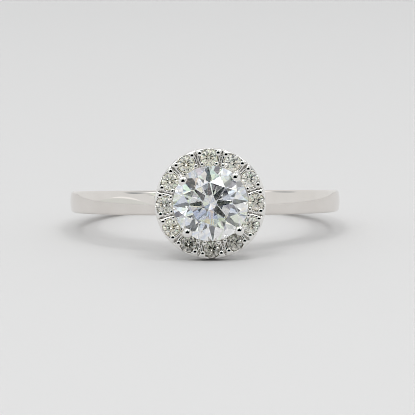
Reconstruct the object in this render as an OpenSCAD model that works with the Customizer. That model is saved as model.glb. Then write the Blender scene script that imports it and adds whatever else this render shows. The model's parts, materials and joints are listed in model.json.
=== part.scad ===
// Halo ring: a plain tapered band, a four-claw basket with a round brilliant,
// and a plate of small bead-set brilliants around it. One soldered body of metal
// and loose cut stones, lying on its side as it rests by itself.
// The head faces -Y, the finger hole's axis is close to Z, and Z = 0 is the surface it lies on.

/* [Band] */
// Inside diameter of the band, the finger hole
finger_d = 17.3; // [15:0.1:21]
// Metal thickness of the band at the middle of its width
band_thick = 1.3; // [1.1:0.05:1.8]
// Width of the band under the head
band_w_head = 1.76; // [1.6:0.02:2.4]
// Width of the band opposite the head
band_w_back = 1.4; // [1.3:0.02:1.7]
// Radius of the soft dome across the outside of the band
band_dome_r = 3; // [2.4:0.1:5]
// Radius of the band's outer edges
band_edge_r = 0.25; // [0.2:0.01:0.3]
// Bevel on the band's inner edges
bore_bevel = 0.1; // [0.05:0.01:0.2]

/* [Centre stone] */
// Diameter of the centre stone across its girdle
stone_d = 5.1; // [4.8:0.1:6]
// Height of the girdle plane above the wall of the finger hole
stone_lift = 4; // [3.9:0.1:4.6]
// Turn of the centre stone's facets about its own axis
stone_turn = 2; // [0:1:44]

/* [Halo] */
// Diameter of each halo stone
halo_stone_d = 1.1; // [1:0.05:1.3]
// Turn of each halo stone's facets past those of the stone before it
halo_stone_turn = 17; // [0:1:44]
// Least room for metal between two halo stones
halo_web = 0.35; // [0.25:0.01:0.45]
// Gap in plan between the centre stone's girdle and the halo stones
halo_gap = 0.02; // [0:0.01:0.1]
// Metal outside the halo stones, out to the rim
rim_wall = 0.12; // [0.1:0.01:0.25]
// Height of the halo plate
plate_h = 1.1; // [0.9:0.05:1.3]
// Drop of the plate's face below the girdle plane of the centre stone
plate_drop = 0.18; // [0.16:0.01:0.3]
// Radius of the beads that hold the halo stones
bead_r = 0.165; // [0.14:0.005:0.18]
// Radius of the round-bottomed notch in the rim beside each halo stone
notch_r = 0.17; // [0.12:0.01:0.2]
// Depth of that notch from the plate's face to its centre
notch_depth = 0.3; // [0.25:0.01:0.4]
// Width of the slit that splits the metal between two halo stones
slit_w = 0.1; // [0.06:0.01:0.14]
// Depth of that slit
slit_depth = 0.18; // [0.1:0.01:0.3]

/* [Claws and basket] */
// Radius of the claw wires
wire_r = 0.28; // [0.24:0.01:0.32]
// Radius of the round claw tips
tip_r = 0.33; // [0.31:0.01:0.36]
// Turn of the claws past the halo's own gaps
claw_turn = 2; // [0:0.5:3]
// Distance of the claw feet from the head's axis, inside the band
foot_r = 0.45; // [0.35:0.05:0.6]
// Radius of the gallery wire that ties the claws together
gallery_wire_r = 0.24; // [0.2:0.01:0.26]

/* [Assembly] */
// Turn of the whole head as the finished ring has it
head_turn = 1.5; // [0:0.5:5]
// Clearance all round each stone in its seat
seat_gap = 0.03; // [0.02:0.005:0.05]

/* [Hidden] */
$fn = 48;

metal_colour = "#d9d4d1";
centre_colour = "#dfe9f2";
halo_colour = "#e6e6d8";

// Band
bore_r = finger_d / 2;
band_r = bore_r + band_thick;
band_sections = 72;
edge_start = 15;
edge_steps = 4;
dome_share = 0.4;
spare = 0.5;

// Cut of a round brilliant, as shares of its diameter and angles of its main facets
table_share = 0.285;
star_share = 0.382;
lower_share = 0.115;
girdle_share = 0.03;
crown_angle = 34.5;
pavilion_angle = 40.75;
mains = 8;
half_step = 180 / mains;
centre_cuts = 4;
halo_cuts = 2;

// Heights along the head's axis, measured from the centre of the finger hole
girdle_z = bore_r + stone_lift;
plate_top = girdle_z - plate_drop;
plate_low = plate_top - plate_h;

// Halo, with a gap between stones at each claw
claw_count = 4;
halo_r = stone_d / 2 + halo_gap + halo_stone_d / 2;
per_claw = floor(360 / claw_count / (2 * asin((halo_stone_d + halo_web) / 2 / halo_r)));
halo_count = claw_count * per_claw;
pitch = 360 / halo_count;
halo_sink = 0.02;
drill_share = 0.2;
halo_girdle_z = plate_top - halo_sink - girdle_share * halo_stone_d / 2;
rim_r = halo_r + halo_stone_d / 2 + rim_wall;
rim_bevel = 0.1;
notch_in = 0.2;
plate_under = 0.13;
plate_inner_r = stone_d / 2 - plate_under;
drill_r = drill_share * halo_stone_d;

// Four beads about each halo stone, by their angle from the outward direction
bead_angles = [-135, -66, 66, 135];
bead_reach = 0.8;
bead_rise = 0.03;
bead_d = halo_stone_d / 2 + bead_reach * bead_r;

// Claws: how far the elbow stands out from the girdle and the tip reaches in over the crown
elbow_out = 0.11;
elbow_sink = 0.02;
elbow_ball = 1.07;
elbow_r = stone_d / 2 + elbow_out;
elbow_z = plate_top - elbow_sink;
tip_in = 0.05;
tip_rise = 0.2;
tip_place = [stone_d / 2 - tip_in, girdle_z + tip_rise];
foot_share = 0.65;
gallery_rise = 0.3;
foot_z = bore_r + foot_share * band_thick;
gallery_z = (band_r + plate_low) / 2 + gallery_rise;
gallery_r = foot_r + (elbow_r - foot_r) * (gallery_z - foot_z) / (elbow_z - foot_z);

// Resting place: the rear edge of the rim and the band's far edge touch the surface
far_edge = edge_centre(band_w_back / 2);
edge_c = [far_edge[0], -far_edge[1]];
rim_c = [-(plate_low + rim_bevel), -rim_r];
rest_span = edge_c - rim_c;
rest_tilt = atan2(rest_span[1], rest_span[0]) - asin(band_edge_r / norm(rest_span));
rest_z = rim_r * cos(rest_tilt) - (plate_low + rim_bevel) * sin(rest_tilt);
front_y = min([for (p = table_corners()) p[1] * sin(rest_tilt) - p[2] * cos(rest_tilt)]);
rest_y = -(front_y + band_r) / 2;

function halo_name(i) = str("halo_stone_", i < 10 ? "0" : "", i);

// Outside radius of the domed band at height z off its middle
function dome_at(z) = band_r - band_dome_r + sqrt(band_dome_r * band_dome_r - z * z);

// Points of an arc of radius r about c, from angle a0 to a1
function arc(c, r, a0, a1, steps) =
    [for (i = [0:steps]) let (a = a0 + (a1 - a0) * i / steps) c + r * [cos(a), sin(a)]];

// A point at radius r, angle a and height z
function at(r, a, z) = [r * cos(a), r * sin(a), z];

// Radii and heights of the corners of a round brilliant of diameter d, with its girdle at Z = 0
function table_r(d) = table_share * d;
function star_r(d) = star_share * d;
function lower_r(d) = lower_share * d;
function girdle_h(d) = girdle_share * d;
function crown_z(d, r) = girdle_h(d) / 2 + (d / 2 - r) * tan(crown_angle);
function pavilion_z(d, r) = -girdle_h(d) / 2 - (d / 2 - r) * tan(pavilion_angle);
function star_z(d) = crown_z(d, star_r(d) * cos(half_step));
function lower_z(d) = pavilion_z(d, lower_r(d) * cos(half_step));

// Corners of the centre stone's table, in the head's upright frame with Z along its axis
function table_corners() =
    let (r = table_r(stone_d))
    [for (i = [0:mains - 1])
        at(r, head_turn + stone_turn + 2 * half_step * i, girdle_z + crown_z(stone_d, r))];

// Height on the girdle's edge at angle a, where the facet next to it dips between its two corners.
// tip_at is the facet's other corner, as [radius, height], and edge_z the height at the girdle's corners.
function girdle_edge(d, a, tip_at, edge_z) =
    let (
        off = a - half_step * (floor(a / half_step + 0.0001) + 0.5),
        run = (d / 2 - tip_at[0]) * cos(half_step / 2)
    )
    edge_z - (tip_at[1] - edge_z) * d / 2 * (cos(off) - cos(half_step / 2)) / run;

// Width of the band at angle a about the finger hole, where 270 is under the head
function band_w(a) = (band_w_head + band_w_back) / 2 - (band_w_head - band_w_back) / 2 * sin(a);

// Centre of the upper round edge of a band section of half width h, as [radius, height]
function edge_centre(h) = [dome_at(h - band_edge_r) - band_edge_r, h - band_edge_r];

// Outline of a band section of half width h, as [radius, height]: domed and rounded outside,
// bevelled inside, and deeper than the finger hole that is cut through it
function band_outline(h) =
    let (
        low = bore_r - spare,
        edge = arc(edge_centre(h), band_edge_r, edge_start, 90, edge_steps)
    )
    concat(
        [[low, h - bore_bevel - spare], [low, bore_bevel + spare - h], [bore_r + bore_bevel, -h]],
        [for (i = [edge_steps:-1:0]) [edge[i][0], -edge[i][1]]],
        [for (share = [-dome_share, 0, dome_share]) [dome_at(share * h), share * h]],
        edge,
        [[bore_r + bore_bevel, h]]
    );

// The band's outside, lofted through sections that widen towards the head
module band_blank() {
    rings = [for (i = [0:band_sections - 1]) let (a = i * 360 / band_sections)
        [for (p = band_outline(band_w(a) / 2)) at(p[0], a, p[1])]];
    n = len(rings[0]);
    polyhedron(
        points = [for (ring = rings) for (p = ring) p],
        faces = [for (i = [0:band_sections - 1]) for (j = [0:n - 1])
            let (here = i * n, next = (i + 1) % band_sections * n, k = (j + 1) % n)
            for (face = [[here + j, next + k, next + j], [here + j, here + k, next + k]])
                face]
    );
}

// The band, with the finger hole as a true bore
module band() {
    difference() {
        band_blank();
        cylinder(h = 3 * band_w_head, r = bore_r, center = true);
    }
}

// A straight round wire between two points given as [distance from the head's axis, height]
module wire(from, to, r) {
    run = to - from;
    translate([from[0], 0, from[1]])
        rotate([0, atan2(run[0], run[1]), 0])
            cylinder(h = norm(run), r = r);
}

// One claw: a leg from inside the band to an elbow beside the girdle, bent in to a round tip
module claw() {
    elbow = [elbow_r, elbow_z];
    wire([foot_r, foot_z], elbow, wire_r);
    translate([elbow_r, 0, elbow_z])
        sphere(r = elbow_ball * wire_r);
    wire(elbow, tip_place, wire_r);
    translate([tip_place[0], 0, tip_place[1]])
        sphere(r = tip_r);
}

// Claws and the gallery wire that ties them
module basket() {
    for (i = [0:claw_count - 1])
        rotate([0, 0, (i + 0.5) * 360 / claw_count + claw_turn])
            claw();
    translate([0, 0, gallery_z])
        rotate_extrude()
            translate([gallery_r, 0])
                circle(r = gallery_wire_r);
}

// Angle of halo stone i, counted from the top, with a gap between two stones at each claw
function halo_angle(i) = 180 / claw_count + (i + floor(per_claw / 2) - 0.5) * pitch;

// The plate that carries the halo stones, split between them
module halo_plate() {
    difference() {
        rotate_extrude()
            polygon([
                [plate_inner_r, plate_low],
                [rim_r - rim_bevel, plate_low],
                [rim_r, plate_low + rim_bevel],
                [rim_r, plate_top - rim_bevel],
                [rim_r - rim_bevel, plate_top],
                [plate_inner_r, plate_top]
            ]);
        for (i = [1:halo_count])
            rotate([0, 0, halo_angle(i) + pitch / 2])
                translate([plate_inner_r - spare, -slit_w / 2, plate_top - slit_depth])
                    cube([rim_r - plate_inner_r + 2 * spare, slit_w, slit_depth + spare]);
    }
}

// The four beads about one halo stone, left out where a claw stands in their place
module beads(i) {
    for (a = bead_angles)
        if (!(abs(a) > 90 && by_claw(i, sign(a))))
            rotate([0, 0, halo_angle(i)])
                translate([halo_r + bead_d * cos(a), bead_d * sin(a), plate_top + bead_rise])
                    sphere(r = bead_r);
}

// Is the gap on this side (1 or -1) of halo stone i one with a claw in it?
function by_claw(i, side) =
    let (off = (halo_angle(i) + side * pitch / 2 - 180 / claw_count) / (360 / claw_count))
    abs(off - round(off)) < 0.01;

// Outline of a stone of diameter d with the clearance round it, from above its culet to its table
function seat_outline(d) = [
    [lower_r(d) + seat_gap, lower_z(d)],
    [d / 2 + seat_gap, -girdle_h(d) / 2 - seat_gap / 2],
    [d / 2 + seat_gap, girdle_h(d) / 2],
    [star_r(d) + seat_gap, star_z(d)],
    [table_r(d) + seat_gap, crown_z(d, table_r(d)) + seat_gap / 2]
];

// The room cut for the centre stone, closed below its culet
module centre_seat() {
    translate([0, 0, girdle_z])
        rotate_extrude()
            polygon(concat(
                [[0, pavilion_z(stone_d, 0) - seat_gap]],
                seat_outline(stone_d),
                [[0, crown_z(stone_d, table_r(stone_d)) + seat_gap / 2]]
            ));
}

// The room cut for a halo stone, open above its table and drilled through the plate below it
module halo_seat() {
    d = halo_stone_d;
    side = seat_outline(d);
    fall = (side[1][1] - side[0][1]) / (side[1][0] - side[0][0]);
    drop = plate_h + spare;
    rotate_extrude()
        polygon([
            [0, -drop],
            [drill_r, -drop],
            [drill_r, side[0][1] + (drill_r - side[0][0]) * fall],
            side[1],
            side[2],
            side[3],
            side[4],
            [side[4][0], d],
            [0, d]
        ]);
}

// The round-bottomed notch in the rim beside one halo stone
module notch() {
    start = rim_r - rim_wall - notch_in;
    translate([start, 0, plate_top - notch_depth])
        rotate([0, 90, 0])
            cylinder(h = rim_r - start + spare, r = notch_r);
    translate([start, -notch_r, plate_top - notch_depth])
        cube([rim_r - start + spare, 2 * notch_r, notch_depth + spare]);
}

// All the metal of the head, in its upright frame
module head() {
    difference() {
        union() {
            halo_plate();
            for (i = [1:halo_count])
                beads(i);
            basket();
        }
        centre_seat();
        for (i = [1:halo_count])
            rotate([0, 0, halo_angle(i)]) {
                translate([halo_r, 0, halo_girdle_z])
                    halo_seat();
                notch();
            }
    }
}

// Lays the whole ring down on its side
module at_rest() {
    translate([0, rest_y, rest_z])
        rotate([-rest_tilt, 0, 0])
            children();
}

// Turns what is drawn upright to face the front of the ring
module on_head() {
    rotate([90, 0, 0])
        rotate([0, 0, head_turn])
            children();
}

// A round brilliant of diameter d with its girdle plane at Z = 0, and cuts straight pieces to each of
// the girdle's 16 arcs
module brilliant(d, cuts) {
    n = 2 * mains * cuts;
    star = mains;
    upper = 2 * mains;
    under = upper + n;
    low = under + n;
    culet = low + mains;
    step = 2 * half_step;
    points = concat(
        [for (i = [0:mains - 1]) at(table_r(d), i * step, crown_z(d, table_r(d)))],
        [for (i = [0:mains - 1]) at(star_r(d), (i + 0.5) * step, star_z(d))],
        [for (j = [0:n - 1]) let (a = j * 360 / n)
            at(d / 2, a, girdle_edge(d, a, [star_r(d), star_z(d)], girdle_h(d) / 2))],
        [for (j = [0:n - 1]) let (a = j * 360 / n)
            at(d / 2, a, girdle_edge(d, a, [lower_r(d), lower_z(d)], -girdle_h(d) / 2))],
        [for (i = [0:mains - 1]) at(lower_r(d), (i + 0.5) * step, lower_z(d))],
        [[0, 0, pavilion_z(d, 0)]]
    );
    faces = concat(
        [[for (i = [mains - 1:-1:0]) i]],
        [for (i = [0:mains - 1]) [i, (i + 1) % mains, star + i]],
        [for (i = [0:mains - 1])
            [i, star + i, upper + 2 * i * cuts, star + (i + mains - 1) % mains]],
        [for (q = [0:2 * mains - 1])
            concat([star + floor(q / 2)], [for (j = [cuts:-1:0]) upper + (q * cuts + j) % n])],
        [for (j = [0:n - 1]) [upper + j, upper + (j + 1) % n, under + (j + 1) % n, under + j]],
        [for (q = [0:2 * mains - 1])
            concat([low + floor(q / 2)], [for (j = [0:cuts]) under + (q * cuts + j) % n])],
        [for (i = [0:mains - 1])
            [culet, low + (i + mains - 1) % mains, under + 2 * i * cuts, low + i]]
    );
    polyhedron(points = points, faces = faces);
}

module ring_mount() {
    color(metal_colour)
        at_rest()
            union() {
                band();
                on_head()
                    head();
            }
}

module centre_stone() {
    color(centre_colour)
        at_rest()
            on_head()
                translate([0, 0, girdle_z])
                    rotate([0, 0, stone_turn])
                        brilliant(stone_d, centre_cuts);
}

module halo_stone(i) {
    color(halo_colour)
        at_rest()
            on_head()
                rotate([0, 0, halo_angle(i)])
                    translate([halo_r, 0, halo_girdle_z])
                        rotate([0, 0, i * halo_stone_turn])
                            brilliant(halo_stone_d, halo_cuts);
}

ring_mount();
centre_stone();
for (i = [1:halo_count])
    halo_stone(i);
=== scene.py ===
"""A halo ring in polished white gold, dressed for a plain studio picture.

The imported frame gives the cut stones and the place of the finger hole. The metal is made here with
soft, hand-polished edges: a lofted band, and a halo plate and a claw basket that are shaped as
solids on a fine grid and then skinned.
"""

import json
import logging
import math
from collections.abc import Callable
from dataclasses import dataclass
from dataclasses import field
from enum import Enum

import bpy
import numpy as np
from mathutils import Matrix
from mathutils import Vector

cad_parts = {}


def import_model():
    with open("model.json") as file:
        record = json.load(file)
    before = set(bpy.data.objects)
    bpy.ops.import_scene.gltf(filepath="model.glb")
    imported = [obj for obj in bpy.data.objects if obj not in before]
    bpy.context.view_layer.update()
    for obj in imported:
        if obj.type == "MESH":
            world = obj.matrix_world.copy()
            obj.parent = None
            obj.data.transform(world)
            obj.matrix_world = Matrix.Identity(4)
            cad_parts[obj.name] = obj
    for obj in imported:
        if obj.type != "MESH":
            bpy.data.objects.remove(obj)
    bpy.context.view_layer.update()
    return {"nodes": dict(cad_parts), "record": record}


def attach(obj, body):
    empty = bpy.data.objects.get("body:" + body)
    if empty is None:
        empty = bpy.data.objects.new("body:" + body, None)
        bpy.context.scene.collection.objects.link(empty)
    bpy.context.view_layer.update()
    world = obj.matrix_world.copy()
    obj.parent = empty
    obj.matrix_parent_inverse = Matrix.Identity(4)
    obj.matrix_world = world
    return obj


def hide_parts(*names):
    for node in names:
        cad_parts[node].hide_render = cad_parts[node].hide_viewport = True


LOG = logging.getLogger("halo_ring")
MM = 0.001
ROOT = "root"
MOUNT_NODE = "ring_mount"
CENTRE_NODE = "centre_stone"
HALO_PREFIX = "halo_stone_"

# Small enough to change nothing: the first for steps and turns, the second for divisors
HAIR = 0.001
NEARLY_ZERO = 1e-9
# Settings of a node that lays one colour over another, or multiplies them
COLOUR_MIX = {"data_type": "RGBA", "blend_type": "MIX"}
COLOUR_MULTIPLY = {"data_type": "RGBA", "blend_type": "MULTIPLY"}
# What an input of a node gets: a value, or the output of another node
Feed = float | tuple | bpy.types.NodeSocket
# Gives a solid's distances, negative inside, from X, Y and Z in millimetres
Shape = Callable[..., np.ndarray]


class Slot(Enum):
    """The material slots of the record."""

    METAL = "white_gold"
    CENTRE = "centre_diamond"
    HALO = "halo_diamond"


class Sort(Enum):
    """The sorts of small stone in the halo, by the tint that each one has; the shaded and grey tints
    are painted shade.
    """

    CLEAR = "#fffdf7"
    CHAMPAGNE = "#fffbee"
    # Painted shade: a duller tint that darkens a stone as shade would
    SHADED = "#f1eee6"
    # Deeper painted shade: a grey tint that darkens the stones at the bottom of the halo as shade
    # would
    PAINTED_DEEP_SHADE = "#dcd9d0"


def linear(hex_colour: str) -> tuple[float, float, float, float]:
    """Turns an sRGB hex colour into linear light.

    Args:
        hex_colour: A colour such as "#e9e1dc".

    Returns:
        Red, green, blue and an alpha of 1.
    """
    shares = [int(hex_colour[i : i + 2], 16) / 255 for i in (1, 3, 5)]
    red, green, blue = (s / 12.92 if s <= 0.04045 else ((s + 0.055) / 1.055) ** 2.4 for s in shares)
    return red, green, blue, 1.0


def add_node(tree: bpy.types.NodeTree, kind: str, values: dict | None = None) -> bpy.types.Node:
    """Adds one node.

    Args:
        tree: The node tree that gets it.
        kind: The node's type name.
        values: What each input or property gets, by its name or number: a value, or the output
            of another node.

    Returns:
        The new node.
    """
    node = tree.nodes.new(kind)
    for name, value in (values or {}).items():
        if isinstance(value, bpy.types.NodeSocket):
            tree.links.new(value, node.inputs[name])
        elif isinstance(name, int) or name in node.inputs:
            node.inputs[name].default_value = value
        else:
            setattr(node, name, value)
    return node


class Finish:
    """What a surface is made of and how it was worked."""

    def surface(self, tree: bpy.types.NodeTree) -> bpy.types.NodeSocket:
        """Lays out the nodes of the finish, and gives its shader."""
        raise NotImplementedError

    def build(self, name: str) -> bpy.types.Material:
        """Makes the material.

        Args:
            name: The material's name.

        Returns:
            The new material.
        """
        material = bpy.data.materials.new(name)
        material.use_nodes = True
        tree = material.node_tree
        tree.nodes.clear()
        add_node(tree, "ShaderNodeOutputMaterial", {"Surface": self.surface(tree)})
        return material


@dataclass(frozen=True)
class PolishedWhiteGold(Finish):
    """White gold, cast, filed and buffed to a mirror by hand.

    Buffing leaves soft waves a millimetre or two long, which bend what the band mirrors, and fine
    lines that scatter a little light, so its gloss is never quite even.
    """

    colour: str = "#ebe7e3"
    worn_colour: str = "#e0dbd6"
    roughness: float = 0.03
    roughness_spread: float = 0.06
    wave_mm: float = 1.6
    wave_height_mm: float = 0.0015
    # Real buffing lines are a few thousandths of a millimetre apart: drawn coarser, so that they show
    line_mm: float = 0.09
    line_height_mm: float = 0.00008
    wave_detail: float = 1.0
    line_detail: float = 3.0
    line_bend: float = 1.5

    def surface(self, tree: bpy.types.NodeTree) -> bpy.types.NodeSocket:
        """Lays out the nodes of the metal.

        Args:
            tree: The material's node tree.

        Returns:
            The shader of the surface.
        """
        place = add_node(tree, "ShaderNodeTexCoord").outputs["Object"]
        waves = add_node(
            tree,
            "ShaderNodeTexNoise",
            {"Scale": 1 / (self.wave_mm * MM), "Detail": self.wave_detail, "Vector": place},
        ).outputs["Fac"]
        fine = {"Detail": self.line_detail, "Distortion": self.line_bend, "Vector": place}
        lines = add_node(
            tree, "ShaderNodeTexNoise", {"Scale": 1 / (self.line_mm * MM)} | fine
        ).outputs["Fac"]
        dullest = self.roughness + self.roughness_spread
        spread = {"To Min": self.roughness, "To Max": dullest, "Value": lines}
        gloss = add_node(tree, "ShaderNodeMapRange", spread)
        wavy = add_node(
            tree, "ShaderNodeBump", {"Distance": self.wave_height_mm * MM, "Height": waves}
        ).outputs["Normal"]
        buffing = {"Distance": self.line_height_mm * MM, "Height": lines, "Normal": wavy}
        lined = add_node(tree, "ShaderNodeBump", buffing)
        tones = {0: waves, 6: linear(self.colour), 7: linear(self.worn_colour)}
        tone = add_node(tree, "ShaderNodeMix", COLOUR_MIX | tones)
        metal = {
            "Metallic": 1.0,
            "Base Color": tone.outputs[2],
            "Roughness": gloss.outputs["Result"],
            "Normal": lined.outputs["Normal"],
        }
        return add_node(tree, "ShaderNodeBsdfPrincipled", metal).outputs["BSDF"]


@dataclass(frozen=True)
class PlatedWhiteGold(PolishedWhiteGold):
    """The head's white gold, polished and then plated with rhodium, which makes it whiter."""

    colour: str = "#f2f1ef"
    worn_colour: str = "#e9e7e4"


@dataclass(frozen=True)
class CutDiamond(Finish):
    """Diamond, sawn, bruted and polished flat on a lap.

    It bends light more than any other clear stone, so each facet shows its own patch of the room,
    bright or dark, with hard edges. A faint tint that changes from facet to facet stands for the
    colours that the stone splits light into; in the grey halo stones it is painted shade.
    """

    # Colour of the whole stone; for the grey and shaded halo stones a darker tint that is painted
    # shade
    tint: str = "#ffffff"
    # Facet tints for fire; the grey halo stones get painted shade here instead
    fire: tuple[str, str, str] = ("#fff3e4", "#eafff2", "#e9f1ff")
    # The facets have no fire up to the first share, and one of its colours from each share on
    fire_from: tuple[float, float, float] = (0.7, 0.8, 0.9)
    ior: float = 2.417

    def surface(self, tree: bpy.types.NodeTree) -> bpy.types.NodeSocket:
        """Lays out the nodes of the stone.

        Args:
            tree: The material's node tree.

        Returns:
            The shader of the surface.
        """
        facet = add_node(tree, "ShaderNodeNewGeometry").outputs["True Normal"]
        chance = add_node(
            tree, "ShaderNodeTexWhiteNoise", {"noise_dimensions": "3D", "Vector": facet}
        )
        ramp = add_node(tree, "ShaderNodeValToRGB", {"Fac": chance.outputs["Value"]})
        stops = ramp.color_ramp
        stops.interpolation = "CONSTANT"
        stops.elements[0].color = linear("#ffffff")
        stops.elements[1].position = self.fire_from[0]
        stops.elements[1].color = linear(self.fire[0])
        for position, colour in zip(self.fire_from[1:], self.fire[1:]):
            stops.elements.new(position).color = linear(colour)
        tones = {0: 1.0, 6: ramp.outputs["Color"], 7: linear(self.tint)}
        tone = add_node(tree, "ShaderNodeMix", COLOUR_MULTIPLY | tones)
        stone = {
            "Roughness": 0.0,
            "IOR": self.ior,
            "Transmission Weight": 1.0,
            "Base Color": tone.outputs[2],
        }
        return add_node(tree, "ShaderNodeBsdfPrincipled", stone).outputs["BSDF"]


@dataclass(frozen=True)
class PalePaper(Finish):
    """Matt white paper, rolled: an even pale surface with a faint tooth."""

    colour: str = "#e2e1e1"
    tooth_mm: float = 0.35
    tooth_height_mm: float = 0.01
    roughness: float = 0.9
    specular: float = 0.2

    def surface(self, tree: bpy.types.NodeTree) -> bpy.types.NodeSocket:
        """Lays out the nodes of the paper.

        Args:
            tree: The material's node tree.

        Returns:
            The shader of the surface.
        """
        place = add_node(tree, "ShaderNodeTexCoord").outputs["Object"]
        tooth = add_node(
            tree, "ShaderNodeTexNoise", {"Scale": 1 / (self.tooth_mm * MM), "Vector": place}
        )
        height = {"Distance": self.tooth_height_mm * MM, "Height": tooth.outputs["Fac"]}
        bump = add_node(tree, "ShaderNodeBump", height)
        paper = {
            "Base Color": linear(self.colour),
            "Roughness": self.roughness,
            "Specular IOR Level": self.specular,
            "Normal": bump.outputs["Normal"],
        }
        return add_node(tree, "ShaderNodeBsdfPrincipled", paper).outputs["BSDF"]


@dataclass(frozen=True)
class RestPlace:
    """Where the ring lies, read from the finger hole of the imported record."""

    centre: Vector
    tilt: float
    head_turn: float = math.radians(1.5)

    @classmethod
    def from_record(cls, record: dict) -> "RestPlace":
        """Reads the finger hole's place.

        Args:
            record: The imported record.

        Returns:
            The ring's place at rest.
        """
        hole = record["mounts"][0]
        axis = Vector(hole["axis"])
        return cls(Vector(hole["pos_m"]), math.atan2(axis.y, axis.z))

    def ring_matrix(self) -> Matrix:
        """From the ring's own frame, with the finger hole along Z, to the world."""
        return Matrix.Translation(self.centre) @ Matrix.Rotation(-self.tilt, 4, "X")

    def head_matrix(self) -> Matrix:
        """From the head's upright frame, with Z out along its axis, to the world."""
        upright = Matrix.Rotation(math.pi / 2, 4, "X") @ Matrix.Rotation(self.head_turn, 4, "Z")
        return self.ring_matrix() @ upright


def piece_from_mesh(
    name: str, points: np.ndarray, faces: np.ndarray, place: Matrix
) -> bpy.types.Object:
    """Makes a smooth-shaded object.

    Args:
        name: The piece's name.
        points: Corners in millimetres, one a row.
        faces: Corner numbers, one face a row.
        place: From the piece's own frame to the world, in metres.

    Returns:
        The new object, at the origin, with its place in its mesh.
    """
    mesh = bpy.data.meshes.new(name)
    mesh.from_pydata((points * MM).tolist(), [], faces.tolist())
    mesh.transform(place)
    mesh.shade_smooth()
    piece = bpy.data.objects.new(name, mesh)
    bpy.context.scene.collection.objects.link(piece)
    return piece


def give_finish(piece: bpy.types.Object, material: bpy.types.Material) -> None:
    """Gives a piece its finish all over.

    Args:
        piece: The piece or CAD node.
        material: Its material.
    """
    if not piece.material_slots:
        piece.data.materials.append(material)
    for place in piece.material_slots:
        place.material = material


class MetalPart:
    """A part of the ring's metal, which shows in place of the mount's node."""

    def build(self, place: RestPlace) -> bpy.types.Object:
        """Shapes the part where the ring lies."""
        raise NotImplementedError

    def dress(self, piece: bpy.types.Object, material: bpy.types.Material) -> None:
        """Gives the part its finish and joins it to the ring.

        Args:
            piece: The part as built.
            material: Its finish.
        """
        give_finish(piece, material)
        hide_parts(MOUNT_NODE)
        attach(piece, ROOT)


@dataclass
class Band(MetalPart):
    """The plain band: a hoop with a soft dome outside, rounded edges and a true round bore."""

    bore_r: float = 8.65
    thick: float = 1.3
    width_head: float = 1.76
    width_back: float = 1.4
    dome_r: float = 3.0
    edge_r: float = 0.25
    bore_edge_r: float = 0.1
    sections: int = 360
    dome_steps: int = 18
    edge_steps: int = 8

    def half_width(self, angle: float) -> float:
        """Half the band's width at an angle about the finger hole, widest under the head."""
        middle = (self.width_head + self.width_back) / 4
        return middle - (self.width_head - self.width_back) / 4 * math.sin(angle)

    def outline(self, half: float) -> list[tuple[float, float]]:
        """One closed section.

        Args:
            half: Half of the band's width there.

        Returns:
            Points as radius and height, counter-clockwise.
        """
        top_r = self.bore_r + self.thick
        middle = top_r - self.dome_r
        # The edge's arc touches the dome's from inside
        rise = half - self.edge_r
        edge_at = middle + math.sqrt((self.dome_r - self.edge_r) ** 2 - rise**2)
        touch = math.atan2(rise, edge_at - middle)
        upper = []
        for i in range(self.dome_steps):
            a = touch * i / self.dome_steps
            upper.append((middle + self.dome_r * math.cos(a), self.dome_r * math.sin(a)))
        for i in range(self.edge_steps + 1):
            a = touch + (math.pi / 2 - touch) * i / self.edge_steps
            upper.append((edge_at + self.edge_r * math.cos(a), rise + self.edge_r * math.sin(a)))
        for i in range(self.edge_steps // 2 + 1):
            a = math.pi / 2 * (1 + i / (self.edge_steps // 2))
            inner = self.bore_edge_r
            r = self.bore_r + inner + inner * math.cos(a)
            upper.append((r, half - inner + inner * math.sin(a)))
        lower = [(r, -z) for r, z in reversed(upper[1:])]
        return upper + lower

    def build(self, place: RestPlace) -> bpy.types.Object:
        """Lofts the band through its sections.

        Args:
            place: Where the ring lies.

        Returns:
            The band.
        """
        rings = []
        for i in range(self.sections):
            a = 2 * math.pi * i / self.sections
            outline = self.outline(self.half_width(a))
            rings.append([(r * math.cos(a), r * math.sin(a), z) for r, z in outline])
        points = np.array(rings)
        count = points.shape[1]
        here = np.arange(self.sections)[:, None] * count
        after = np.roll(here, -1, axis=0)
        side = np.arange(count)[None, :]
        next_side = np.roll(side, -1, axis=1)
        faces = np.stack(
            [here + side, after + side, after + next_side, here + next_side], axis=-1
        )
        return piece_from_mesh(
            "band", points.reshape(-1, 3), faces.reshape(-1, 4), place.ring_matrix()
        )


def smooth_union(a: np.ndarray, b: np.ndarray, blend: float) -> np.ndarray:
    """Joins two solids, each given by its distances, with a fillet that reaches as far as blend."""
    share = np.clip(0.5 + 0.5 * (b - a) / blend, 0, 1)
    return b + (a - b) * share - blend * share * (1 - share)


def smooth_cut(a: np.ndarray, b: np.ndarray, blend: float) -> np.ndarray:
    """Takes the second solid out of the first, with an edge rounded as far as blend."""
    return -smooth_union(-a, b, blend)


def polygon_distance(r: np.ndarray, z: np.ndarray, corners: list[tuple[float, float]]) -> np.ndarray:
    """Distances to a polygon.

    Args:
        r: First coordinate of each point.
        z: Second coordinate of each point.
        corners: The polygon's corners in order.

    Returns:
        Distances, negative inside.
    """
    nearest = np.full(r.shape, np.inf)
    inside = np.zeros(r.shape, bool)
    for (r0, z0), (r1, z1) in zip(corners, corners[1:] + corners[:1]):
        run, rise = r1 - r0, z1 - z0
        share = np.clip(((r - r0) * run + (z - z0) * rise) / (run**2 + rise**2), 0, 1)
        gap = (r - r0 - share * run) ** 2 + (z - z0 - share * rise) ** 2
        nearest = np.minimum(nearest, gap)
        if rise:
            crosses = (z0 > z) != (z1 > z)
            inside ^= crosses & (r < r0 + (z - z0) * run / rise)
    return np.where(inside, -1, 1) * np.sqrt(nearest)


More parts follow.
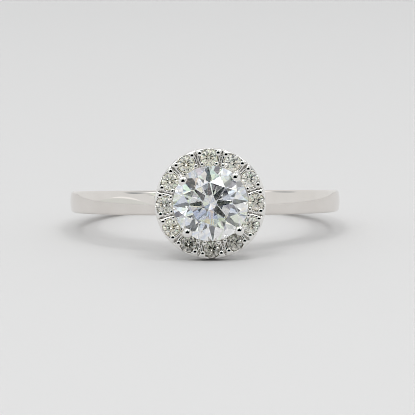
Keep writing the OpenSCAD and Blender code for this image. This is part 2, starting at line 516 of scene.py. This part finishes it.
@dataclass
class Sculpt:
    """A solid held as distances on a regular grid, in millimetres, negative inside."""

    low: np.ndarray
    high: np.ndarray
    step: float
    far: float = 9.0
    settle_rounds: int = 2
    settle_reach: float = 0.3
    dist: np.ndarray = field(init=False)

    def __post_init__(self) -> None:
        """Starts with nothing solid."""
        counts = np.ceil((self.high - self.low) / self.step).astype(int) + 1
        self.dist = np.full(counts, self.far, np.float32)

    def grid(self, window: tuple[slice, ...]) -> list[np.ndarray]:
        """X, Y and Z of the grid's points in a window."""
        axes = [self.low[i] + self.step * np.arange(s.start, s.stop) for i, s in enumerate(window)]
        return np.meshgrid(*axes, indexing="ij")

    def window(self, low: np.ndarray, high: np.ndarray) -> tuple[slice, ...]:
        """Finds the part of the grid between two corners.

        Args:
            low: The lowest corner.
            high: The highest corner.

        Returns:
            The grid's points there, as a slice along each axis.
        """
        first = np.floor((low - self.low) / self.step).astype(int)
        last = np.ceil((high - self.low) / self.step).astype(int) + 1
        return tuple(
            slice(max(0, a), min(n, b)) for a, b, n in zip(first, last, self.dist.shape)
        )

    def join(self, low: np.ndarray, high: np.ndarray, shape: Shape, blend: float) -> None:
        """Adds a solid in the space between two corners, with a fillet."""
        window = self.window(low, high)
        self.dist[window] = smooth_union(self.dist[window], shape(*self.grid(window)), blend)

    def cut(self, low: np.ndarray, high: np.ndarray, shape: Shape, blend: float) -> None:
        """Takes a solid out of the space between two corners, with a rounded edge."""
        window = self.window(low, high)
        self.dist[window] = smooth_cut(self.dist[window], shape(*self.grid(window)), blend)

    def sample(self, points: np.ndarray) -> np.ndarray:
        """Distances at any points, by the nearest eight of the grid.

        Args:
            points: Points in grid steps from the low corner, one a row.

        Returns:
            One distance for each point.
        """
        limit = np.array(self.dist.shape) - 1 - HAIR
        points = np.clip(points, 0, limit)
        base = points.astype(int)
        share = points - base
        total = np.zeros(len(points))
        for corner in np.ndindex(2, 2, 2):
            at = base + corner
            weight = np.prod(np.where(corner, share, 1 - share), axis=1)
            total += weight * self.dist[at[:, 0], at[:, 1], at[:, 2]]
        return total

    def slope(self, points: np.ndarray) -> np.ndarray:
        """The direction away from the solid at points given in grid steps."""
        falls = [self.sample(points + step) - self.sample(points - step) for step in np.eye(3)]
        return np.stack(falls, axis=1) / 2

    def skin(self) -> tuple[np.ndarray, np.ndarray]:
        """Makes a skin of quads where the distance is zero.

        Returns:
            Corners in millimetres and faces as corner numbers.
        """
        inside = self.dist < 0
        shape = np.array(self.dist.shape) - 1
        count = np.zeros(shape, np.int8)
        for i, j, k in np.ndindex(2, 2, 2):
            count += inside[i : shape[0] + i, j : shape[1] + j, k : shape[2] + k]
        cells = np.argwhere((count > 0) & (count < 8))
        number = np.full(shape, -1, np.int64)
        number[tuple(cells.T)] = np.arange(len(cells))

        total = np.zeros((len(cells), 3))
        hits = np.zeros(len(cells))
        for axis in range(3):
            along = np.eye(3, dtype=int)[axis]
            for corner in np.ndindex(2, 2, 2):
                if corner[axis]:
                    continue
                start = cells + corner
                end = start + along
                a = self.dist[tuple(start.T)]
                b = self.dist[tuple(end.T)]
                crosses = (a < 0) != (b < 0)
                share = np.where(crosses, a / np.where(crosses, a - b, 1), 0)
                point = np.array(corner) + share[:, None] * along
                total += point * crosses[:, None]
                hits += crosses
        points = cells + total / hits[:, None]
        for _ in range(self.settle_rounds):
            slope = self.slope(points)
            length = np.maximum((slope**2).sum(axis=1), NEARLY_ZERO)
            shift = -self.sample(points)[:, None] * slope / length[:, None]
            points = points + np.clip(shift, -self.settle_reach, self.settle_reach)

        quads = []
        for axis in range(3):
            along, u, v = np.roll(np.eye(3, dtype=int), -axis, axis=0)
            first = inside[tuple(slice(0, -1) if along[i] else slice(1, -1) for i in range(3))]
            second = inside[tuple(slice(1, None) if along[i] else slice(1, -1) for i in range(3))]
            for outward in (True, False):
                found = np.argwhere((first == outward) & (second != outward)) + 1 - along
                ring = [found, found - u, found - u - v, found - v]
                quad = np.stack([number[tuple(c.T)] for c in ring], axis=1)
                quads.append(quad if outward else quad[:, ::-1])
        return self.low + self.step * points, np.concatenate(quads)


@dataclass(frozen=True)
class Brilliant:
    """The outline of a round brilliant, as shares of its diameter and angles of its main facets."""

    diameter: float
    table: float = 0.285
    star: float = 0.382
    lower: float = 0.115
    girdle: float = 0.03
    crown: float = math.radians(34.5)
    pavilion: float = math.radians(40.75)
    half_step: float = math.pi / 8

    def crown_z(self, r: float) -> float:
        """Height of the crown's main facets at a radius."""
        return self.girdle * self.diameter / 2 + (self.diameter / 2 - r) * math.tan(self.crown)

    def pavilion_z(self, r: float) -> float:
        """Height of the pavilion's main facets at a radius."""
        return -self.girdle * self.diameter / 2 - (self.diameter / 2 - r) * math.tan(self.pavilion)

    def side(self, gap: float) -> list[tuple[float, float]]:
        """The stone's side from above its culet to its table.

        Args:
            gap: Clearance round the stone.

        Returns:
            Points as radius and height.
        """
        d = self.diameter
        turn = math.cos(self.half_step)
        return [
            (self.lower * d + gap, self.pavilion_z(self.lower * d * turn)),
            (d / 2 + gap, -self.girdle * d / 2 - gap / 2),
            (d / 2 + gap, self.girdle * d / 2),
            (self.star * d + gap, self.crown_z(self.star * d * turn)),
            (self.table * d + gap, self.crown_z(self.table * d) + gap / 2),
        ]


@dataclass
class HeadSizes:
    """Sizes that the halo plate and the claw basket share, in the head's upright frame."""

    centre: Brilliant = field(default_factory=lambda: Brilliant(5.1))
    melee: Brilliant = field(default_factory=lambda: Brilliant(1.1))
    girdle_z: float = 12.65
    plate_drop: float = 0.18
    plate_h: float = 1.1
    halo_gap: float = 0.02
    rim_wall: float = 0.12
    halo_count: int = 12
    claw_count: int = 4
    claw_turn: float = math.radians(2)
    seat_gap: float = 0.03

    @property
    def plate_top(self) -> float:
        """Height of the plate's face."""
        return self.girdle_z - self.plate_drop

    @property
    def plate_low(self) -> float:
        """Height of the plate's underside."""
        return self.plate_top - self.plate_h

    @property
    def halo_r(self) -> float:
        """Distance of the halo stones from the head's axis."""
        return self.centre.diameter / 2 + self.halo_gap + self.melee.diameter / 2

    @property
    def rim_r(self) -> float:
        """Outside radius of the plate."""
        return self.halo_r + self.melee.diameter / 2 + self.rim_wall

    @property
    def pitch(self) -> float:
        """Angle from one halo stone to the next."""
        return 2 * math.pi / self.halo_count

    def centre_seat(self) -> Shape:
        """Works out the space of the centre stone and its clearance.

        Returns:
            The distances to that space.
        """
        side = self.centre.side(self.seat_gap)
        culet = (0.0, self.centre.pavilion_z(0) - self.seat_gap)
        outline = [culet] + side + [(0.0, side[-1][1])]
        return lambda x, y, z: polygon_distance(np.hypot(x, y), z - self.girdle_z, outline)

    def halo_angles(self) -> list[float]:
        """Angles of the halo stones, with a gap between two of them at each claw."""
        return [(i + 0.5) * self.pitch + math.pi / self.claw_count for i in range(self.halo_count)]

    def claw_angles(self) -> list[float]:
        """Angles of the claws."""
        step = 2 * math.pi / self.claw_count
        return [(i + 0.5) * step + self.claw_turn for i in range(self.claw_count)]


def capsule(start: np.ndarray, end: np.ndarray, start_r: float, end_r: float) -> Shape:
    """A round wire with round ends.

    Args:
        start: Middle of one end.
        end: Middle of the other.
        start_r: Radius at the start.
        end_r: Radius at the end.

    Returns:
        A function that gives its distances from X, Y and Z.
    """
    run = end - start

    def distances(x: np.ndarray, y: np.ndarray, z: np.ndarray) -> np.ndarray:
        """Distances to the wire.

        Args:
            x: Across the head.
            y: Up the head.
            z: Out along its axis.

        Returns:
            Distances, negative inside.
        """
        dx, dy, dz = x - start[0], y - start[1], z - start[2]
        share = np.clip((dx * run[0] + dy * run[1] + dz * run[2]) / (run @ run), 0, 1)
        gap = (dx - share * run[0]) ** 2 + (dy - share * run[1]) ** 2 + (dz - share * run[2]) ** 2
        return np.sqrt(gap) - (start_r + (end_r - start_r) * share)

    return distances


def button(middle: np.ndarray, radius: float, rise: float) -> Shape:
    """A ball pressed flat along the head's axis, as a tool leaves a bead or a claw's tip.

    Args:
        middle: Its middle.
        radius: Its radius across the head's axis.
        rise: Its radius along that axis.

    Returns:
        A function that gives its distances from X, Y and Z.
    """

    def distances(x: np.ndarray, y: np.ndarray, z: np.ndarray) -> np.ndarray:
        """Distances to the button, near its surface.

        Args:
            x: Across the head.
            y: Up the head.
            z: Out along its axis.

        Returns:
            Distances, negative inside.
        """
        across = ((x - middle[0]) ** 2 + (y - middle[1]) ** 2) / radius**2
        along = ((z - middle[2]) / rise) ** 2
        size = np.sqrt(across + along)
        steep = np.sqrt(across / radius**2 + along / rise**2)
        return size * (size - 1) / np.maximum(steep, NEARLY_ZERO)

    return distances


def on_head(radius: float, angle: float, z: float) -> np.ndarray:
    """A point of the head's frame at a radius, an angle and a height."""
    return np.array([radius * math.cos(angle), radius * math.sin(angle), z])


@dataclass
class HaloPlate(MetalPart):
    """The plate round the centre stone: split between its small stones and beaded to hold them."""

    sizes: HeadSizes
    step: float = 0.032
    under_stone: float = 0.13
    edge_r: float = 0.2
    bead_r: float = 0.2
    bead_top: float = 0.075
    bead_reach: float = 0.73
    bead_rise: float = 0.1
    bead_angles: tuple[float, ...] = (-135, -66, 66, 135)
    notch_r: float = 0.17
    notch_depth: float = 0.3
    notch_in: float = 0.2
    notch_drop: float = 0.1
    slit_w: float = 0.05
    slit_depth: float = 0.14
    drill_share: float = 0.2
    stone_sink: float = 0.02
    blend: float = 0.05
    edge_blend: float = 0.1
    slit_blend: float = 0.14
    # How far past a cut's own outline the metal is worked, by the kind of cut
    slit_past_rim: float = 0.2
    slit_height: float = 0.5
    slit_room: float = 0.3
    seat_room: float = 0.2
    notch_room: float = 0.6
    grid_margin: int = 4
    triangles: int = 190000

    def build(self, place: RestPlace) -> bpy.types.Object:
        """Shapes the plate.

        Args:
            place: Where the ring lies.

        Returns:
            The plate with its beads.
        """
        s = self.sizes
        margin = self.grid_margin * self.step
        reach = s.rim_r + margin
        low = np.array([-reach, -reach, s.plate_low - margin])
        high = np.array([reach, reach, s.plate_top + self.bead_rise + self.bead_r + margin])
        solid = Sculpt(low, high, self.step)
        solid.join(low, high, self.blank, self.blend)
        for angle in s.halo_angles():
            self.add_beads(solid, angle)
        for angle in s.halo_angles():
            self.cut_slit(solid, angle + s.pitch / 2)
        for angle in s.halo_angles():
            self.cut_seat(solid, angle)
            self.cut_notch(solid, angle)
        solid.cut(low, high, s.centre_seat(), self.edge_blend)
        points, faces = solid.skin()
        piece = piece_from_mesh("halo_plate", points, faces, place.head_matrix())
        return thinned(piece, self.triangles)

    def blank(self, x: np.ndarray, y: np.ndarray, z: np.ndarray) -> np.ndarray:
        """Distances to the plain plate with rounded edges.

        Args:
            x: Across the head.
            y: Up the head.
            z: Out along its axis.

        Returns:
            Distances, negative inside.
        """
        s = self.sizes
        inner = s.centre.diameter / 2 - self.under_stone
        half_w = (s.rim_r - inner) / 2 - self.edge_r
        half_h = s.plate_h / 2 - self.edge_r
        r = np.abs(np.hypot(x, y) - (s.rim_r + inner) / 2) - half_w
        h = np.abs(z - (s.plate_top + s.plate_low) / 2) - half_h
        outside = np.hypot(np.maximum(r, 0), np.maximum(h, 0))
        return outside + np.minimum(np.maximum(r, h), 0) - self.edge_r

    def add_beads(self, solid: Sculpt, angle: float) -> None:
        """Raises the beads about one halo stone, except where a claw stands.

        Args:
            solid: The plate so far.
            angle: The stone's angle.
        """
        s = self.sizes
        distance = s.melee.diameter / 2 + self.bead_reach * self.bead_r
        middle = on_head(s.halo_r, angle, s.plate_top + self.bead_rise)
        for degrees in self.bead_angles:
            if abs(degrees) > 90 and self.claw_beside(angle, math.copysign(1, degrees)):
                continue
            bead = middle + on_head(distance, angle + math.radians(degrees), 0)
            reach = self.bead_r + 2 * self.blend
            shape = button(bead, self.bead_r, self.bead_top)
            solid.join(bead - reach, bead + reach, shape, self.blend)

    def claw_beside(self, angle: float, side: float) -> bool:
        """Tells whether a claw stands in the gap beside a halo stone.

        Args:
            angle: The stone's angle.
            side: 1 for the gap on its counter-clockwise side, -1 for the other.

        Returns:
            True if one does.
        """
        s = self.sizes
        gap = angle + side * s.pitch / 2
        step = 2 * math.pi / s.claw_count
        off = (gap - step / 2) / step
        return abs(off - round(off)) < HAIR

    def cut_slit(self, solid: Sculpt, angle: float) -> None:
        """Splits the plate's face between two halo stones.

        Args:
            solid: The plate so far.
            angle: The angle halfway between them.
        """
        s = self.sizes

        def slit(x: np.ndarray, y: np.ndarray, z: np.ndarray) -> np.ndarray:
            """Distances to the slit.

            Args:
                x: Across the head.
                y: Up the head.
                z: Out along its axis.

            Returns:
                Distances, negative inside.
            """
            across = np.abs(y * math.cos(angle) - x * math.sin(angle)) - self.slit_w / 2
            behind = -(x * math.cos(angle) + y * math.sin(angle))
            return np.maximum(np.maximum(across, behind), s.plate_top - self.slit_depth - z)

        inner_r = s.centre.diameter / 2 - 2 * self.under_stone
        inner = on_head(inner_r, angle, s.plate_top - self.slit_height)
        outer = on_head(s.rim_r + self.slit_past_rim, angle, s.plate_top + self.slit_height)
        reach = np.array([self.slit_room, self.slit_room, 0])
        low = np.minimum(inner, outer) - reach
        solid.cut(low, np.maximum(inner, outer) + reach, slit, self.slit_blend)

    def cut_seat(self, solid: Sculpt, angle: float) -> None:
        """Cuts the seat of one halo stone, open above and drilled through below.

        Args:
            solid: The plate so far.
            angle: The stone's angle.
        """
        s = self.sizes
        d = s.melee.diameter
        side = s.melee.side(s.seat_gap)
        drill = self.drill_share * d
        fall = (side[1][1] - side[0][1]) / (side[1][0] - side[0][0])
        deep = -2 * s.plate_h
        start = side[0][1] + (drill - side[0][0]) * fall
        outline = [(0.0, deep), (drill, deep), (drill, start)] + side[1:]
        outline += [(side[-1][0], d), (0.0, d)]
        middle = on_head(s.halo_r, angle, s.plate_top - self.stone_sink - s.melee.girdle * d / 2)

        def seat(x: np.ndarray, y: np.ndarray, z: np.ndarray) -> np.ndarray:
            """Distances to the seat."""
            r = np.hypot(x - middle[0], y - middle[1])
            return polygon_distance(r, z - middle[2], outline)

        room = d / 2 + self.seat_room
        reach = np.array([room, room, 2 * s.plate_h])
        solid.cut(middle - reach, middle + reach, seat, self.edge_blend)

    def cut_notch(self, solid: Sculpt, angle: float) -> None:
        """Cuts the round-bottomed notch in the rim beside one halo stone.

        Args:
            solid: The plate so far.
            angle: The stone's angle.
        """
        s = self.sizes
        start = s.rim_r - s.rim_wall - self.notch_in
        bottom = s.plate_top - self.notch_depth

        def notch(x: np.ndarray, y: np.ndarray, z: np.ndarray) -> np.ndarray:
            """Distances to the notch.

            Args:
                x: Across the head.
                y: Up the head.
                z: Out along its axis.

            Returns:
                Distances, negative inside.
            """
            across = y * math.cos(angle) - x * math.sin(angle)
            out = x * math.cos(angle) + y * math.sin(angle)
            below = np.minimum(z - bottom, 0)
            return np.maximum(np.hypot(across, below) - self.notch_r, start - out)

        middle = on_head(s.rim_r, angle, s.plate_top - self.notch_drop)
        solid.cut(middle - self.notch_room, middle + self.notch_room, notch, self.edge_blend)


def thinned(piece: bpy.types.Object, triangles: int) -> bpy.types.Object:
    """Takes faces out of the flatter parts of a piece.

    Args:
        piece: A piece made of quads.
        triangles: How many triangles to leave.

    Returns:
        The same piece.
    """
    there = 2 * len(piece.data.polygons)
    if there <= triangles:
        return piece
    modifier = piece.modifiers.new("thin", "DECIMATE")
    modifier.ratio = triangles / there
    graph = bpy.context.evaluated_depsgraph_get()
    mesh = bpy.data.meshes.new_from_object(piece.evaluated_get(graph))
    piece.modifiers.clear()
    piece.data = mesh
    mesh.shade_smooth()
    return piece


@dataclass
class ClawBasket(MetalPart):
    """Four claw wires that rise from the band beside the centre stone, and the wire that ties them."""

    sizes: HeadSizes
    step: float = 0.04
    band_r: float = 9.95
    foot_r: float = 0.45
    foot_z: float = 9.495
    wire_r: float = 0.28
    wire_end_r: float = 0.22
    tip_r: float = 0.34
    tip_top: float = 0.2
    elbow_out: float = 0.11
    elbow_sink: float = 0.02
    tip_in: float = 0.05
    tip_rise: float = 0.2
    tip_lift: float = 0.08
    # How far each claw was pushed outward and round when it was closed by hand
    tip_pushes: tuple[tuple[float, float], ...] = (
        (-0.07, -0.09),
        (-0.1, 0.1),
        (0.03, 0.13),
        (0.18, -0.1),
    )
    gallery_wire_r: float = 0.24
    gallery_rise: float = 0.3
    blend: float = 0.12
    seat_blend: float = 0.03
    triangles: int = 150000

    def build(self, place: RestPlace) -> bpy.types.Object:
        """Shapes the basket.

        Args:
            place: Where the ring lies.

        Returns:
            The claws and the gallery wire.
        """
        s = self.sizes
        elbow_r = s.centre.diameter / 2 + self.elbow_out
        elbow_z = s.plate_top - self.elbow_sink
        tip_place = (s.centre.diameter / 2 - self.tip_in, s.girdle_z + self.tip_rise)
        reach = elbow_r + 2 * self.tip_r
        low = np.array([-reach, -reach, self.foot_z - 2 * self.wire_r])
        high = np.array([reach, reach, tip_place[1] + 2 * self.tip_r])
        solid = Sculpt(low, high, self.step)

        gallery_z = (self.band_r + s.plate_low) / 2 + self.gallery_rise
        climb = (gallery_z - self.foot_z) / (elbow_z - self.foot_z)
        gallery_r = self.foot_r + (elbow_r - self.foot_r) * climb

        def gallery(x: np.ndarray, y: np.ndarray, z: np.ndarray) -> np.ndarray:
            """Distances to the gallery wire."""
            return np.hypot(np.hypot(x, y) - gallery_r, z - gallery_z) - self.gallery_wire_r

        solid.join(low, high, gallery, self.blend)
        margin = self.tip_r + 2 * self.blend
        for angle, (outward, aside) in zip(s.claw_angles(), self.tip_pushes):
            foot = on_head(self.foot_r, angle, self.foot_z)
            elbow = on_head(elbow_r, angle, elbow_z)
            tip_r = tip_place[0] + outward
            tip = on_head(tip_r, angle + aside / tip_r, tip_place[1])
            for start, end, end_r in ((foot, elbow, self.wire_r), (elbow, tip, self.wire_end_r)):
                corners = np.minimum(start, end) - margin, np.maximum(start, end) + margin
                solid.join(*corners, capsule(start, end, self.wire_r, end_r), self.blend)
            top = tip + [0, 0, self.tip_lift]
            shape = button(top, self.tip_r, self.tip_top)
            solid.join(top - margin, top + margin, shape, self.blend / 2)
        solid.cut(low, high, s.centre_seat(), self.seat_blend)
        points, faces = solid.skin()
        piece = piece_from_mesh("claw_basket", points, faces, place.head_matrix())
        return thinned(piece, self.triangles)


@dataclass(frozen=True)
class Softbox:
    """A square soft light that faces the ring, with its distance and size in metres."""

    name: str
    azimuth: float
    elevation: float
    distance: float
    size: float
    radiance: float

    def build(self, target: Vector) -> None:
        """Hangs the light.

        Args:
            target: The point that it faces.
        """
        light = bpy.data.lights.new(self.name, "AREA")
        light.shape = "SQUARE"
        light.size = self.size
        light.energy = self.radiance * math.pi * self.size**2
        lamp = bpy.data.objects.new(self.name, light)
        back = direction(math.radians(self.azimuth), math.radians(self.elevation))
        lamp.location = target + back * self.distance
        lamp.rotation_mode = "QUATERNION"
        lamp.rotation_quaternion = (-back).to_track_quat("-Z", "Y")
        bpy.context.scene.collection.objects.link(lamp)


def direction(azimuth: float, elevation: float) -> Vector:
    """The way from the ring to the left or right and up, where azimuth 0 is in front of the head."""
    level = math.cos(elevation)
    return Vector((math.sin(azimuth) * level, -math.cos(azimuth) * level, math.sin(elevation)))


@dataclass(frozen=True)
class Patch:
    """A round patch of the room with a soft edge, brighter or darker than its walls."""

    azimuth: float
    elevation: float
    radius: float
    edge: float
    colour: str = "#ffffff"
    strength: float = 1.0

    def share(self, tree: bpy.types.NodeTree, way: bpy.types.NodeSocket) -> bpy.types.NodeSocket:
        """Works out how much of the patch is seen in each direction.

        Args:
            tree: The room's node tree.
            way: The direction.

        Returns:
            1 inside the patch and 0 outside its edge.
        """
        middle = direction(math.radians(self.azimuth), math.radians(self.elevation))
        towards = add_node(
            tree, "ShaderNodeVectorMath", {"operation": "DOT_PRODUCT", 0: way, 1: middle}
        )
        shade = {
            "interpolation_type": "SMOOTHSTEP",
            "From Min": math.cos(math.radians(self.radius + self.edge)),
            "From Max": math.cos(math.radians(self.radius)),
            "Value": towards.outputs["Value"],
        }
        return add_node(tree, "ShaderNodeMapRange", shade).outputs["Result"]

    def light(self, tree: bpy.types.NodeTree, way: bpy.types.NodeSocket) -> Feed:
        """The patch's own light, here the same in all directions."""
        red, green, blue, alpha = linear(self.colour)
        return red * self.strength, green * self.strength, blue * self.strength, alpha

    def over(
        self, tree: bpy.types.NodeTree, way: bpy.types.NodeSocket, room: bpy.types.NodeSocket
    ) -> bpy.types.NodeSocket:
        """Lays the patch over what the room shows in each direction."""
        layers = {0: self.share(tree, way), 6: room, 7: self.light(tree, way)}
        return add_node(tree, "ShaderNodeMix", COLOUR_MIX | layers).outputs[2]


@dataclass(frozen=True)
class BusyWall(Patch):
    """The crowded part of the room before the ring: stands, screens and lamps, light and dark.

    The patch's colour is that of the lightest things.
    """

    azimuth: float = -1.8
    elevation: float = 42
    radius: float = 37
    edge: float = 12
    strength: float = 1.15
    darkest: str = "#1e2930"
    cell: float = 5
    tint: float = 0.2

    def light(self, tree: bpy.types.NodeTree, way: bpy.types.NodeSocket) -> Feed:
        """Works out the light of the things, each with its own tone and tint.

        Args:
            tree: The room's node tree.
            way: The direction.

        Returns:
            The light in each direction.
        """
        things = add_node(
            tree, "ShaderNodeTexVoronoi", {"Scale": 1 / math.radians(self.cell), "Vector": way}
        ).outputs["Color"]
        chance = add_node(tree, "ShaderNodeSeparateColor", {"Color": things}).outputs["Green"]
        tones = {0: chance, 6: linear(self.darkest), 7: linear(self.colour)}
        tone = add_node(tree, "ShaderNodeMix", COLOUR_MIX | tones).outputs[2]
        tints = {0: self.tint, 6: tone, 7: things}
        hue = add_node(tree, "ShaderNodeMix", COLOUR_MULTIPLY | tints).outputs[2]
        scaled = {"operation": "SCALE", "Scale": self.strength, "Vector": hue}
        return add_node(tree, "ShaderNodeVectorMath", scaled).outputs["Vector"]


@dataclass
class Studio:
    """The plain pale floor, the soft light and the camera."""

    place: RestPlace
    floor_size: float = 3.0
    backdrop: str = "#e4e5e7"
    walls: str = "#ebecec"
    busy: BusyWall = BusyWall()
    # Windows and screens, and the darker walls between them
    patches: tuple[Patch, ...] = (
        Patch(-48, 64, 20, 14, "#ffffff", 1.45),
        Patch(55, 60, 14, 8, "#ffffff", 1.4),
        Patch(-18, 58, 7, 2, "#8f979c"),
        Patch(34, 52, 8, 2, "#7c858a"),
        Patch(-72, 34, 8, 3, "#9aa0a4"),
        Patch(88, 38, 9, 3, "#858c90"),
        Patch(-100, 55, 10, 3, "#8a9094"),
        Patch(20, 80, 7, 3, "#7f868a"),
        # A low shade whose bright top edge shows in the band
        Patch(-74, -9, 23, 1.5, "#ffffff", 1.08),
        Patch(-74, -28, 38.5, 1.5, "#e3e6e4"),
    )
    # The dark side behind the camera: as the metal sees it, and as the stones do
    dark_side: Patch = Patch(-1.8, 8, 24, 4, "#12191b")
    dark_in_stones: Patch = Patch(-2, -4, 22, 5, "#20292b")
    # The view of the ring in its picture: how far the camera stands off, round and above its plane
    camera_distance_mm: float = 150.0
    camera_azimuth: float = math.radians(-1.8)
    camera_over_plane: float = math.radians(0.96)
    field_of_view: float = math.radians(11.69)
    ring_right_mm: float = -0.185
    ring_up_mm: float = 0.481
    sharpening: float = 0.014
    clip_m: tuple[float, float] = (0.01, 10)
    stone_bounces: int = 32
    metal_bounces: int = 16
    floor_bounces: int = 4
    brightest_bounce: float = 8.0
    pixel_filter: float = 1.0
    softboxes: tuple[Softbox, ...] = (
        Softbox("key", -24, 57, 0.45, 0.08, 8.0),
        Softbox("fill", 25, 50, 0.5, 0.08, 6.0),
        Softbox("top", 62, 74, 0.5, 0.08, 8.0),
    )

    def camera_back(self) -> Vector:
        """The way from the ring to the camera."""
        return direction(self.camera_azimuth, self.place.tilt + self.camera_over_plane)

    def build(self) -> None:
        """Makes everything that isn't the ring."""
        self.add_camera()
        self.add_floor()
        self.add_room()
        for softbox in self.softboxes:
            softbox.build(self.place.centre)
        self.set_render()

    def add_camera(self) -> None:
        """Stands the camera where the picture was taken from."""
        back = self.camera_back()
        turn = (-back).to_track_quat("-Z", "Y")
        right = turn @ Vector((1, 0, 0))
        up = turn @ Vector((0, 1, 0))
        data = bpy.data.cameras.new("camera")
        data.angle = self.field_of_view
        data.clip_start, data.clip_end = self.clip_m
        camera = bpy.data.objects.new("camera", data)
        camera.rotation_mode = "QUATERNION"
        camera.rotation_quaternion = turn
        camera.location = (
            self.place.centre
            + back * self.camera_distance_mm * MM
            - right * self.ring_right_mm * MM
            - up * self.ring_up_mm * MM
        )
        bpy.context.scene.collection.objects.link(camera)
        bpy.context.scene.camera = camera

    def add_floor(self) -> None:
        """Lays the paper that the ring lies on."""
        half = self.floor_size / 2
        mesh = bpy.data.meshes.new("floor")
        corners = [(-half, -half, 0), (half, -half, 0), (half, half, 0), (-half, half, 0)]
        mesh.from_pydata(corners, [], [(0, 1, 2, 3)])
        floor = bpy.data.objects.new("floor", mesh)
        bpy.context.scene.collection.objects.link(floor)
        mesh.materials.append(PalePaper().build("pale_paper"))

    def add_room(self) -> None:
        """Lights the room softly all round, darker on the side that the camera stands on."""
        world = bpy.data.worlds.new("room")
        bpy.context.scene.world = world
        world.use_nodes = True
        tree = world.node_tree
        tree.nodes.clear()
        way = add_node(tree, "ShaderNodeTexCoord").outputs["Generated"]
        room = add_node(tree, "ShaderNodeRGB").outputs["Color"]
        room.default_value = linear(self.walls)
        for patch in (self.busy, *self.patches):
            room = patch.over(tree, way, room)
        ray = add_node(tree, "ShaderNodeLightPath").outputs
        for_metal = self.dark_side.over(tree, way, room)
        for_stones = self.dark_in_stones.over(tree, way, room)
        sides = {0: ray["Is Transmission Ray"], 6: for_metal, 7: for_stones}
        room = add_node(tree, "ShaderNodeMix", COLOUR_MIX | sides).outputs[2]
        lit = add_node(tree, "ShaderNodeBackground", {"Color": room})
        seen = add_node(tree, "ShaderNodeBackground", {"Color": linear(self.backdrop)})
        first, second = lit.outputs["Background"], seen.outputs["Background"]
        both = add_node(
            tree, "ShaderNodeMixShader", {0: ray["Is Camera Ray"], 1: first, 2: second}
        )
        add_node(tree, "ShaderNodeOutputWorld", {"Surface": both.outputs["Shader"]})

    def set_render(self) -> None:
        """Lets light pass through the stones often enough, and keeps colours as they are."""
        scene = bpy.context.scene
        scene.view_settings.view_transform = "Standard"
        scene.cycles.max_bounces = self.stone_bounces
        scene.cycles.transmission_bounces = self.stone_bounces
        scene.cycles.glossy_bounces = self.metal_bounces
        scene.cycles.diffuse_bounces = self.floor_bounces
        scene.cycles.sample_clamp_indirect = self.brightest_bounce
        scene.cycles.use_denoising = True
        scene.cycles.filter_width = self.pixel_filter
        self.add_sharpening(scene)

    def add_sharpening(self, scene: bpy.types.Scene) -> None:
        """Sharpens the picture a little, as cameras do by themselves.

        Args:
            scene: The scene that is rendered.
        """
        scene.use_nodes = True
        tree = scene.node_tree
        tree.nodes.clear()
        picture = add_node(tree, "CompositorNodeRLayers").outputs["Image"]
        values = {"filter_type": "SHARPEN", "Fac": self.sharpening, "Image": picture}
        sharp = add_node(tree, "CompositorNodeFilter", values).outputs["Image"]
        add_node(tree, "CompositorNodeComposite", {"Image": sharp})


@dataclass
class Stones:
    """The stones of the frame, which keep their shapes and get their finishes here."""

    nodes: dict[str, bpy.types.Object]
    centre_fire: tuple[str, str, str] = ("#ffe2c6", "#effcdf", "#d8e4ff")
    # In the grey stones, painted shade in place of fire: facets picked at random are darkened
    painted_facet_shade: tuple[str, str, str] = ("#75736b", "#5c5a53", "#45433d")
    # From the top of the head round by its left side; the grey and shaded sorts are painted shade on
    # those stones
    halo_sorts: tuple[Sort, ...] = (
        (Sort.CHAMPAGNE,) * 3
        + (Sort.SHADED, Sort.CHAMPAGNE)
        + (Sort.PAINTED_DEEP_SHADE,) * 3
        + (Sort.SHADED,) * 2
        + (Sort.CLEAR,) * 2
    )

    def dress(self) -> None:
        """Gives each stone the finish of its sort; the grey and shaded sorts carry painted shade."""
        centre = CutDiamond(fire=self.centre_fire).build("cut_diamond_centre")
        sorts = {}
        for sort in Sort:
            # The grey sort gets painted shade on random facets as well as in its tint
            fire = self.painted_facet_shade if sort is Sort.PAINTED_DEEP_SHADE else CutDiamond.fire
            finish = CutDiamond(sort.value, fire)
            sorts[sort] = finish.build(f"cut_diamond_{sort.name.lower()}")
        for name, node in self.nodes.items():
            if name == CENTRE_NODE:
                give_finish(node, centre)
            elif name.startswith(HALO_PREFIX):
                number = int(name[len(HALO_PREFIX) :])
                give_finish(node, sorts[self.halo_sorts[number - 1]])
            else:
                continue
            LOG.info("%s: %s", name, node.material_slots[0].material.name)


def main() -> None:
    """Loads the frame, dresses the stones, builds the metal and the studio."""
    logging.basicConfig(level=logging.INFO, format="%(message)s")
    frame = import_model()
    place = RestPlace.from_record(frame["record"])
    head = HeadSizes()
    Stones(frame["nodes"]).dress()
    polished = PolishedWhiteGold().build("polished_white_gold")
    plated = PlatedWhiteGold().build("plated_white_gold")
    for part, material in (
        (Band(), polished),
        (HaloPlate(head), plated),
        (ClawBasket(head), plated),
    ):
        piece = part.build(place)
        part.dress(piece, material)
        LOG.info("%s: %d faces", piece.name, len(piece.data.polygons))
    Studio(place).build()


if __name__ == "__main__":
    main()
